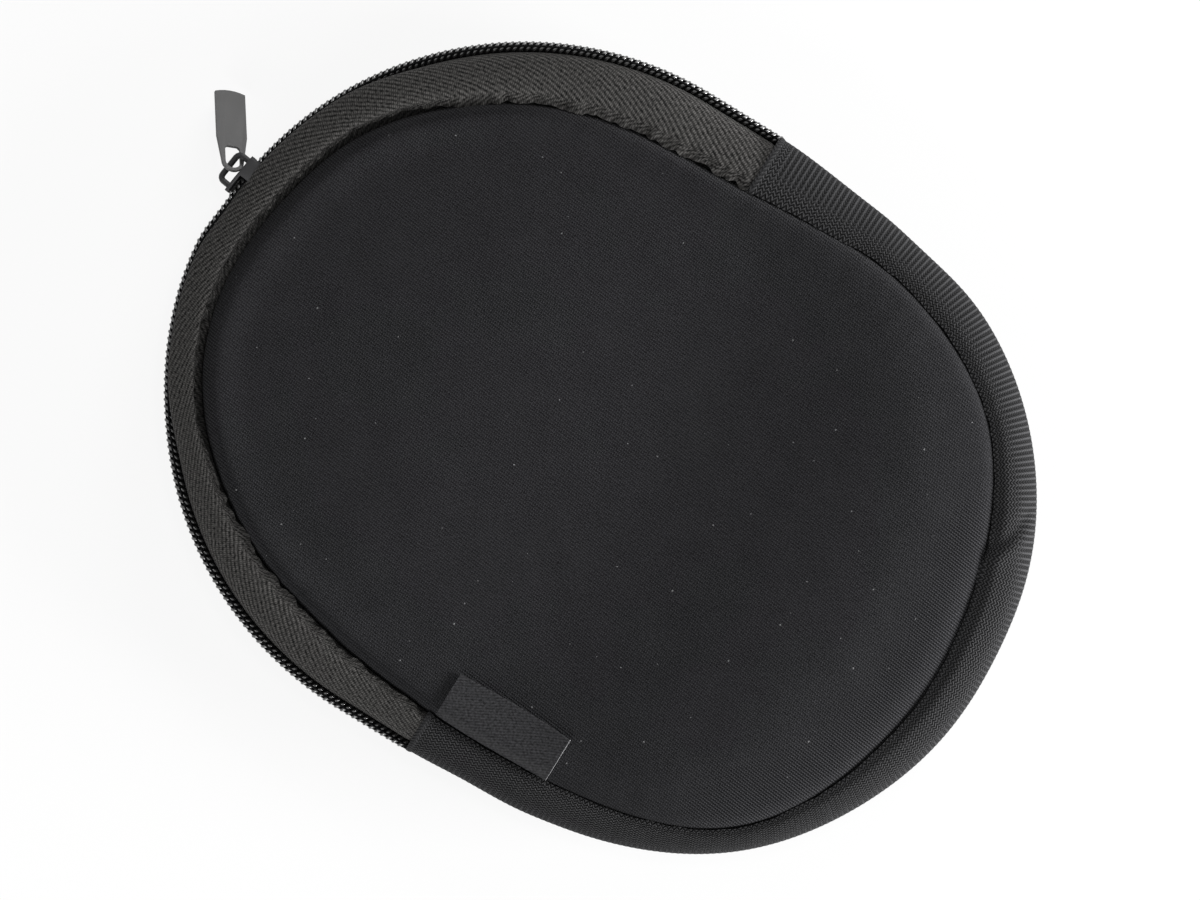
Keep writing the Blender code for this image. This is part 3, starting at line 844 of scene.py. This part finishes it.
def gussetSide(thickness, edge, steps, drop):  # radius and height above the chain, from the seam
    half = thickness / 2
    rise = gusset["halfHeight"] - half
    reach = gusset["width"] - thickness
    power = gusset["power"]
    seam = endRadius - gusset["width"] + half
    last = np.arccos((edge / rise) ** (1 / power)) if edge else pi / 2
    turns = last * np.linspace(0.0, 1, steps) ** gusset["packed"]
    radius = seam + reach * np.sin(turns) ** power
    height = rise * np.cos(turns).clip(0) ** power
    height = height - drop * (1 - ease((radius - seam) / gusset["seamRoll"]))
    turnedZ = rise - drop - gusset["roll"]
    deep = turnedZ - gusset["turnIn"]
    middle = turnedZ - gusset["turnIn"] / 2
    turnedIn = [deep, middle, turnedZ]  # the edge inside the seam
    return np.concatenate([[seam] * 3, radius]), np.concatenate([turnedIn, height])


def chainBelly(s):
    return gusset["belly"] * between(s, *gusset["bellyRun"])


def seamShare(radius, thickness):  # 1 at the seam, falling evenly to 0 at the outer edge
    return np.clip(1 - (radius - radius[0]) / (gusset["width"] - thickness), 0, 1)[:, None]


def seamLooseness(height):  # 1 at the seam, 0 at the chain
    rise = gusset["halfHeight"]
    return ease((height - 0.35 * rise) / (0.6 * rise))[:, None]


def zipTape(name, side, nodes, body, seed):
    run = np.linspace(0, zipLength(endRadius), tape["stations"])
    centre, turn = zipCourse(run, endRadius)
    radius, height = gussetSide(tape["cloth"], tape["edge"], tape["steps"], tape["seamDrop"])
    across = lengthAcross(radius, height)
    fromSeam = (radius - radius[0])[:, None]
    share = seamShare(radius, tape["cloth"])
    nearSeam = 1 - ease(fromSeam / tape["nearSeam"])
    # outward: the seam's stray and gathers, the bulge over the coil, the loose chain
    stray = strayShift(spineLength(endRadius) + run, "seam") if side > 0 else 0 * run
    sewn = radius[:, None] + share * stray
    gathered = tape["frontWave"] if side > 0 else tape["backWave"]
    waves = wander(run, tape["shortWave"], seed) + wander(run, tape["longWave"], seed + 2)
    lip = bell(height, tape["bulgeAt"], tape["bulgeReach"])[:, None]
    radiusGrid = sewn + nearSeam * gathered * waves
    radiusGrid += tape["bulge"] * between(run, *tape["bulgeRun"]) * lip
    radiusGrid += (1 - share) * chainBelly(run)
    # up: slow ripples, gathers and the flatter ends
    middle = np.sin(pi * np.linspace(0, 1, len(radius)))[:, None] ** 2
    ripples = tape["ripple"] * wander(run, tape["rippleRun"], seed + 5)
    lifted = tape["waveRise"] * gathered * wander(run, tape["shortWave"], seed + 7)
    flatter = tape["flatter"] * (1 - tape["rolled"] * between(run, *tape["rolledRun"]))
    heightGrid = height[:, None] + middle * ripples
    heightGrid += nearSeam * seamLooseness(height) * lifted
    heightGrid += flatter * (1 - ease(fromSeam / gusset["seamRoll"]))
    # both ends tuck under the webbing
    fromEnd = np.minimum(run, run[-1] - run)
    tuck = tape["tuck"] * (1 - ease((fromEnd - gusset["overlap"]) / tape["tuckRun"]))
    outward = ease(fromSeam / (0.6 * gusset["width"]))
    radiusGrid -= 0.3 * tuck * outward
    heightGrid -= tuck * (1 - 0.7 * outward)
    radiusGrid[:2] = sewn[:2]
    heightGrid[:3] = height[:3, None]
    spots = sweepSpots(centre, turn, radiusGrid, chainZ + side * heightGrid)
    piece = formGrid(name, spots, weaveGrid(run, across[-1] - across))
    thicken(piece, tape["cloth"])
    finishCloth(piece, "tape", nodes)
    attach(piece, body)


web = {
    "cloth": 1.2 * mm,
    "steps": 19,
    "rib": 0.045 * mm, "ribPitch": 1.4 * mm,
    "ribStart": 6.2 * mm,  # from the seam, and less of it past ribNearer
    "ribNearer": 165 * mm, "ribNearerOver": 60 * mm, "ribNearerShare": 0.8, "ribOver": 3.8 * mm,
    "ribFree": 2 * mm, "ribFreeOver": 3 * mm,
    "hem": 1.4 * mm, "hemOver": 0.7 * mm, "hemEdge": 0.4 * mm, "hemRise": 0.3 * mm,
    "wave": 0.22 * mm, "shortWave": 3.0 * mm, "longWave": 11 * mm,
    "flare": 2.2 * mm, "flareRun": 30 * mm,
    "crease": -1.1 * mm, "creaseAt": 193 * mm, "creaseLean": 1.5, "creaseWidth": 3.6 * mm,
    "creaseReach": 7 * mm, "creaseFade": 2.4 * mm,
    "groove": 0.45 * mm, "grooveDeep": 1.0 * mm, "grooveAt": 172 * mm, "grooveReach": 34 * mm,
}


def spineWebbing():
    overlap = gusset["overlap"]
    length = spineLength(endRadius)
    ribs = round((length + 2 * overlap) / web["ribPitch"])
    run = np.linspace(-overlap, length + overlap, 4 * ribs + 1)
    centre, turn = spineCourse(run, endRadius)
    upperR, upperZ = gussetSide(web["cloth"], 0, web["steps"], 0)
    radius = np.concatenate([upperR, upperR[-2::-1]])
    height = np.concatenate([upperZ, -upperZ[-2::-1]])
    across = lengthAcross(radius, height)
    outR, outZ = -np.gradient(height), np.gradient(radius)  # which way the cloth faces
    size = np.hypot(outR, outZ)
    outR, outZ = (outR / size)[:, None], (outZ / size)[:, None]
    fromEnd = np.minimum(run - run[0], run[-1] - run)
    fromSeam = (radius - radius[0])[:, None]
    upper = (height > 0)[:, None]
    visible = np.ones((len(radius), 1))  # the turned-in edges stay plain
    visible[:3] = 0
    visible[-3:] = 0
    # ribs on the outer part, hems at both ends
    # the hem band, raised and given painted shade, a little weaker at the very end
    hemmed = ease((web["hem"] - fromEnd) / web["hemOver"])
    hemmed *= 0.7 + 0.3 * ease(fromEnd / web["hemEdge"])
    nearer = ease((run - web["ribNearer"]) / web["ribNearerOver"])
    ribStart = web["ribStart"] * (1 - web["ribNearerShare"] * nearer)
    clearOfHem = ease((fromEnd - web["ribFree"]) / web["ribFreeOver"])
    ribbed = ease((fromSeam - ribStart) / web["ribOver"]) * (0.15 + 0.85 * clearOfHem)
    rib = web["rib"] * np.cos(2 * pi * run / web["ribPitch"]) * (0.2 + 0.8 * ribbed)
    proud = visible * (rib + web["hemRise"] * hemmed)
    # one slanting crease across the upper band
    slant = run - web["creaseAt"] - web["creaseLean"] * (fromSeam - gusset["width"] / 2)
    slant /= web["creaseWidth"]
    inBand = 1 - ease((fromSeam - web["creaseReach"]) / web["creaseFade"])
    crease = upper * web["crease"] * slant * bell(slant, 0, 1) * visible * inBand
    # waves and stray along both edges, a flare at the ends, a groove at the seam
    waves = wander(run, web["shortWave"], 7.7) + wander(run, web["longWave"], 2.2)
    wavy = seamLooseness(np.abs(height)) * visible * web["wave"] * waves
    flare = web["flare"] * (1 - ease(fromEnd / web["flareRun"]))
    flare = flare * ease(fromSeam / gusset["width"])
    inner = seamShare(radius, web["cloth"])
    stray = upper * inner * strayShift(run, "seam")
    stray += (1 - inner) * strayShift(run, "webbingEdge")
    deeper = bell(run, web["grooveAt"], web["grooveReach"])
    groove = web["groove"] + web["grooveDeep"] * deeper
    sunk = groove * (1 - ease(fromSeam / gusset["seamRoll"])) * np.sign(height)[:, None]
    radiusGrid = radius[:, None] + (proud + crease) * outR + wavy + flare + stray
    heightGrid = height[:, None] + (proud + crease) * outZ - sunk
    spots = sweepSpots(centre, turn, radiusGrid, chainZ + heightGrid)
    piece = formGrid("spineWebbing", spots, weaveGrid(run, across))
    mark(piece, "ribbed", ribbed)
    # the hem mask raises the hems and carries the painted shade over them
    mark(piece, "hem", hemmed + 0 * ribbed)
    thicken(piece, web["cloth"])
    finishCloth(piece, "webbing", ["spine_webbing"])
    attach(piece, "pouch")


zipTape("frontZipTape", 1, ["front_zip_tape"], "flap", 0.4)
zipTape("backZipTape", -1, ["back_zip_tape"], "pouch", 1.9)
spineWebbing()
print("gusset formed")

# seam bindings, inside
binding = {
    "width": 5.6 * mm, "height": 2.4 * mm, "gap": 0.3 * mm, "outward": 0.35 * mm,
    "boxy": 0.5, "flatter": 0.98,
    "wave": 0.15 * mm, "waveRun": 6 * mm,
    "stations": 240, "sides": 20,
}


def bindingLoop(name, side, nodes):
    radius = panelRadius
    centre, turn, run, loop = wholeCourse(binding["stations"], radius)
    stray = strayShift(loop, "seam") if side > 0 else 0 * loop
    sweep = np.linspace(0, 2 * pi, binding["sides"] + 1)
    halfWidth, halfHeight = binding["width"] / 2, binding["height"] / 2
    middleR = radius + binding["outward"] - halfWidth
    middleZ = panel["rimDrop"] - panel["rimDepth"] - binding["gap"] - halfHeight
    ringR = middleR + halfWidth * squared(np.cos(sweep), binding["boxy"])
    ringZ = middleZ + halfHeight * squared(np.sin(sweep), binding["boxy"]) * binding["flatter"]
    wavy = np.abs(binding["wave"] * wander(run, binding["waveRun"], 8.1 + side))
    level = chainZ + side * ringZ[:, None]
    spots = sweepSpots(centre, turn, ringR[:, None] + stray - wavy, level)
    across = np.linspace(0, 2 * (binding["width"] + binding["height"]), len(sweep))
    piece = formGrid(name, spots, weaveGrid(run, across))
    finishCloth(piece, "binding", nodes)
    return piece


backBinding = bindingLoop("backSeamBinding", -1, ["back_seam_binding"])
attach(backBinding, "pouch")
frontBinding = bindingLoop("frontSeamBinding", 1, ["front_seam_binding", "flap_seam_binding"])
foldAcross(frontBinding)
print("bindings formed")

# the side label: a short folded strip caught in the front seam
label = {
    "start": 0.4 * mm,
    "length": 30.4 * mm, "width": 10.8 * mm, "cloth": 0.26 * mm,
    "lift": 0.22 * mm, "gap": 0.18 * mm, "fromSeam": 0.3 * mm,
    "fold": 0.4 * mm, "foldOut": 0.35 * mm,
    "steps": 10, "stations": 33,
    "belly": 0.7 * mm,
    "cornerLift": 0.3 * mm,
    "curlFrom": 0.72,
    "cutEdgeHighlight": 0.16 * mm, "cutWithin": 0.05 * mm,
}


def sideLabel():
    length, steps = label["length"], label["steps"]
    radius = panelRadius - label["fromSeam"]
    foldAt = radius - label["width"] + label["fold"]
    lower = np.linspace(radius, foldAt, steps)
    bend = np.linspace(-pi / 2, pi / 2, 7)[1:-1]
    layer = label["cloth"] + label["gap"]
    foldZ = layer / 2 * (1 + np.sin(bend))
    profileR = np.concatenate([lower, foldAt - label["foldOut"] * np.cos(bend), lower[::-1]])
    profileZ = np.concatenate([np.zeros(steps), foldZ, np.full(steps, layer)])
    along = np.append(np.linspace(0, length - label["cutEdgeHighlight"], label["stations"]), length)
    x = label["start"] + along[None, :] + 0 * profileR[:, None]
    y = -profileR[:, None] + 0 * x
    free = ease((radius - profileR) / label["width"])[:, None]
    curl = ease((along - label["curlFrom"] * length) / ((1 - label["curlFrom"]) * length))
    ground = panelHeight(x, y, profileR[:, None] + 0 * x)
    z = ground + label["lift"] + label["cloth"] / 2 + profileZ[:, None]
    z += free * label["cornerLift"] * curl
    y += label["belly"] * np.sin(pi * along / length) * free
    y -= rimStray(profileR[:, None], label["start"] + along)
    across = lengthAcross(profileR, profileZ)
    piece = formGrid("sideLabel", np.stack([x, y, z], axis=-1), weaveGrid(along, across))
    thicken(piece, label["cloth"])
    weld(piece)
    # the last strip of the cut end gets the painted highlight
    edge = label["start"] + length - label["cutWithin"]
    mark(piece, "cutEdgeHighlight", [vertex.co.x > edge for vertex in piece.data.vertices])
    smooth(piece, 40)
    dress(piece, "label", ["side_label"])
    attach(piece, "pouch")


sideLabel()
print("label formed")

# the zip coil: two rows of bent filament, hooked together behind the slider
coil = {
    "pitch": 1.6 * mm, "wire": 0.42 * mm, "sides": 2, "perTurn": 12,
    "inner": 83.3 * mm, "outer": 86.0 * mm, "back": 2.9 * mm, "head": -0.6 * mm,
    "boxy": 0.7,
    "leadFrom": 0.3,  # the part of a turn over which the filament steps on
    "leadOver": 0.4,
    "frontShift": 0.6,  # in pitches, so that the rows hook between each other
    "backShift": 1.1,
    "endFree": 0.35,
    "sliderTurn": radians(172.9),
    "noseSplit": 1.6 * mm, "openSplit": 0.9 * mm,
    "splitStart": -4.6 * mm, "splitEnd": 1.6 * mm,
    "nose": 5.2 * mm, "easing": 15 * mm,
}
coil["middle"] = (coil["inner"] + coil["outer"]) / 2


def rowSplit(s):  # how far each row stands off the chain's middle, past the slider's nose
    past = s - zipRun - coil["middle"] * (coil["sliderTurn"] - pi / 2)
    left = zipLength(coil["middle"]) - s
    fork = np.clip((past - coil["splitStart"]) / (coil["splitEnd"] - coil["splitStart"]), 0, 1)
    settled = coil["noseSplit"] - coil["openSplit"]
    settled *= ease((past - coil["nose"]) / coil["easing"])
    return (coil["noseSplit"] * fork - settled) * ease(left / coil["easing"])


def tubeAlong(name, points, thickness, sides=1):
    curve = bpy.data.curves.new(name, "CURVE")
    curve.dimensions = "3D"
    curve.bevel_depth = thickness
    curve.bevel_resolution = sides
    curve.use_fill_caps = True
    line = curve.splines.new("POLY")
    line.points.add(len(points) - 1)
    corners = np.hstack([points, np.ones((len(points), 1))])
    line.points.foreach_set("co", corners.reshape(-1))
    makeActive(addPiece(name, curve))
    bpy.ops.object.convert(target="MESH")
    return bpy.context.active_object


def coilRow(name, side, nodes, body):
    length = zipLength(coil["middle"])
    shift = coil["frontShift"] if side > 0 else coil["backShift"]
    turns = int(length / coil["pitch"] - shift - coil["endFree"])
    step = np.arange(turns * coil["perTurn"] + 1) / coil["perTurn"]
    whole = np.floor(step)
    part = step - whole  # 0 at the head, half way at the back
    forward = whole + ease((part - coil["leadFrom"]) / coil["leadOver"])
    s = (forward + shift) * coil["pitch"]
    angle = 2 * pi * part
    reachZ = (coil["back"] - coil["head"]) / 2 - coil["wire"]
    middleZ = (coil["back"] + coil["head"]) / 2
    reachR = (coil["outer"] - coil["inner"]) / 2 - coil["wire"]
    z = middleZ - reachZ * np.cos(angle)
    r = coil["middle"] + chainBelly(s) + reachR * squared(np.sin(angle), coil["boxy"])
    centre, turn = zipCourse(s, coil["middle"])
    points = sweepSpots(centre, turn, r, chainZ + side * (z + rowSplit(s)))
    piece = tubeAlong(name, points, coil["wire"], coil["sides"])
    smooth(piece)
    dress(piece, "nylon", nodes)
    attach(piece, body)


# the cords that the filament is wound over, and the thread that sews it down
filler = {
    "strands": (  # radius, height above the chain, thickness
        (83.95 * mm, 1.45 * mm, 0.58 * mm),
        (85.05 * mm, 1.45 * mm, 0.58 * mm),
        (84.65 * mm, 2.8 * mm, 0.26 * mm),
    ),
    "stations": 400,
    "tuckIn": 1.4 * mm,  # the ends go under the webbing
    "pullIn": 1.7 * mm, "pullRun": 2.6 * mm,
}


def fillerCord(name, side, body):
    tuckIn = filler["tuckIn"]
    run = np.linspace(-tuckIn, zipLength(coil["middle"]) + tuckIn, filler["stations"])
    centre, turn = zipCourse(run, coil["middle"])
    fromEnd = np.minimum(run - run[0], run[-1] - run)
    pulled = filler["pullIn"] * (1 - ease(fromEnd / filler["pullRun"]))
    strands = []
    for strand, (radius, height, thick) in enumerate(filler["strands"]):
        level = chainZ + side * (height + rowSplit(run))
        line = sweepSpots(centre, turn, radius + chainBelly(run) - pulled, level)
        strands.append(tubeAlong(f"{name}{strand}", line, thick))
    clearSelection()
    for strand in strands:
        strand.select_set(True)
    bpy.context.view_layer.objects.active = strands[0]
    bpy.ops.object.join()
    piece = bpy.context.active_object
    piece.name = name
    smooth(piece)
    dress(piece, "cord", [])
    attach(piece, body)


fillerCord("frontFillerCord", 1, "flap")
fillerCord("backFillerCord", -1, "pouch")
coilRow("frontZipCoil", 1, ["front_zip_coil"], "flap")
coilRow("backZipCoil", -1, ["back_zip_coil"], "pouch")
print("coil wound")

# slider and pull tab: copies of the solids with their edges broken
hardware = {
    "sliderEdge": 0.22 * mm, "tabEdge": 0.2 * mm, "merge": 0.002 * mm,
    "flatWithin": 1, "sharpFrom": 35, "segments": 3,
}


def softenEdges(name, node, finish, body, width):
    piece = addPiece(name, frame["nodes"][node].data.copy())
    weld(piece, hardware["merge"], outward=False)
    openMesh(piece)
    bpy.ops.mesh.dissolve_limited(angle_limit=radians(hardware["flatWithin"]))
    bpy.ops.object.mode_set(mode="OBJECT")
    edges = piece.modifiers.new("edges", "BEVEL")
    edges.width = width
    edges.segments = hardware["segments"]
    edges.limit_method = "ANGLE"
    edges.angle_limit = radians(hardware["sharpFrom"])
    applyModifiers(piece)
    smooth(piece, hardware["sharpFrom"])
    dress(piece, finish, [node])
    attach(piece, body)


sliderEdge, tabEdge = hardware["sliderEdge"], hardware["tabEdge"]
softenEdges("zipSlider", "slider_body", "slider", "slider", sliderEdge)
softenEdges("pullTab", "pull_tab", "tab", "tab", tabEdge)
print("slider and tab finished")

# floor, light and camera
studio = {
    "floorSize": 6.0, "floorDrop": 0.2 * mm, "floorTone": 0.86,
    "paper": 0.88,  # how white the camera finds the floor
    "world": 0.12,
}
shot = {
    "right": (0.853, 0.522),  # the picture's right, seen from above
    "perPixel": 0.2388 * mm,
    "centre": (2, -4),  # in pixels, as the width
    "width": 1200,
    "distance": 1.1,
    "sensor": 36,
}
right = Vector((*shot["right"], 0)).normalized()
up = Vector((-right.y, right.x, 0))
lamps = {  # place along the picture's right, up and towards the viewer; size; power
    "keyLamp": (0.4, 0.8, 0.42, 0.5, 6.0),
    "sideLamp": (0.9, -0.25, 0.19, 0.36, 23.0),
    "lowLamp": (-0.45, -0.8, 0.42, 0.5, 7.0),
    "topLamp": (0.1, 0.1, 0.8, 0.12, 0.9),
}


def cameraMask(tree):  # camera, mirror and see-through rays find the white paper
    path = tree.nodes.new("ShaderNodeLightPath").outputs
    seen = mathStep(tree, "MAXIMUM", path["Is Camera Ray"], path["Is Glossy Ray"])
    return mathStep(tree, "MAXIMUM", seen, path["Is Transmission Ray"])


def layFloor():
    clearSelection()
    drop = -studio["floorDrop"]
    bpy.ops.mesh.primitive_plane_add(size=studio["floorSize"], location=(0, 0, drop))
    floor = bpy.context.active_object
    floor.name = "paperFloor"
    tone = (studio["floorTone"],) * 3 + (1,)
    settings = {"Base Color": tone, "Roughness": 0.95, "Specular IOR Level": 0.0}
    paper, tree, shader = startFinish("whitePaper", settings)
    glow = tree.nodes.new("ShaderNodeEmission")
    mix = tree.nodes.new("ShaderNodeMixShader")
    feed(tree, mix.inputs[0], times(tree, cameraMask(tree), studio["paper"]))
    feed(tree, mix.inputs[1], shader.outputs[0])
    feed(tree, mix.inputs[2], glow.outputs[0])
    feed(tree, tree.nodes["Material Output"].inputs["Surface"], mix.outputs[0])
    floor.data.materials.append(paper)


def lightWorld():
    world = bpy.data.worlds.new("studioWorld")
    bpy.context.scene.world = world
    world.use_nodes = True
    tree = world.node_tree
    sky = tree.nodes["Background"]
    sky.inputs["Color"].default_value = (1, 1, 1, 1)
    strength = scaled(tree, cameraMask(tree), 1 - studio["world"], studio["world"])
    feed(tree, sky.inputs["Strength"], strength)


def hangLamps():
    for name, (across, along, height, size, power) in lamps.items():
        lamp = bpy.data.lights.new(name, "AREA")
        lamp.size = size
        lamp.energy = power
        holder = addPiece(name, lamp)
        holder.location = right * across + up * along + Vector((0, 0, height))
        holder.rotation_euler = (-holder.location).to_track_quat("-Z", "Y").to_euler()


def setCamera():
    lens = bpy.data.cameras.new("topCamera")
    lens.sensor_width = shot["sensor"]
    lens.lens = shot["sensor"] * shot["distance"] / (shot["width"] * shot["perPixel"])
    camera = addPiece("topCamera", lens)
    aside, above = shot["centre"]
    aim = right * aside * shot["perPixel"] + up * above * shot["perPixel"]
    place = Matrix((right, up, Vector((0, 0, 1)))).transposed().to_4x4()
    place.translation = aim + Vector((0, 0, chainZ + shot["distance"]))
    camera.matrix_world = place
    bpy.context.scene.camera = camera


layFloor()
lightWorld()
hangLamps()
setCamera()
bpy.context.scene.view_settings.view_transform = "Standard"
print("studio set")
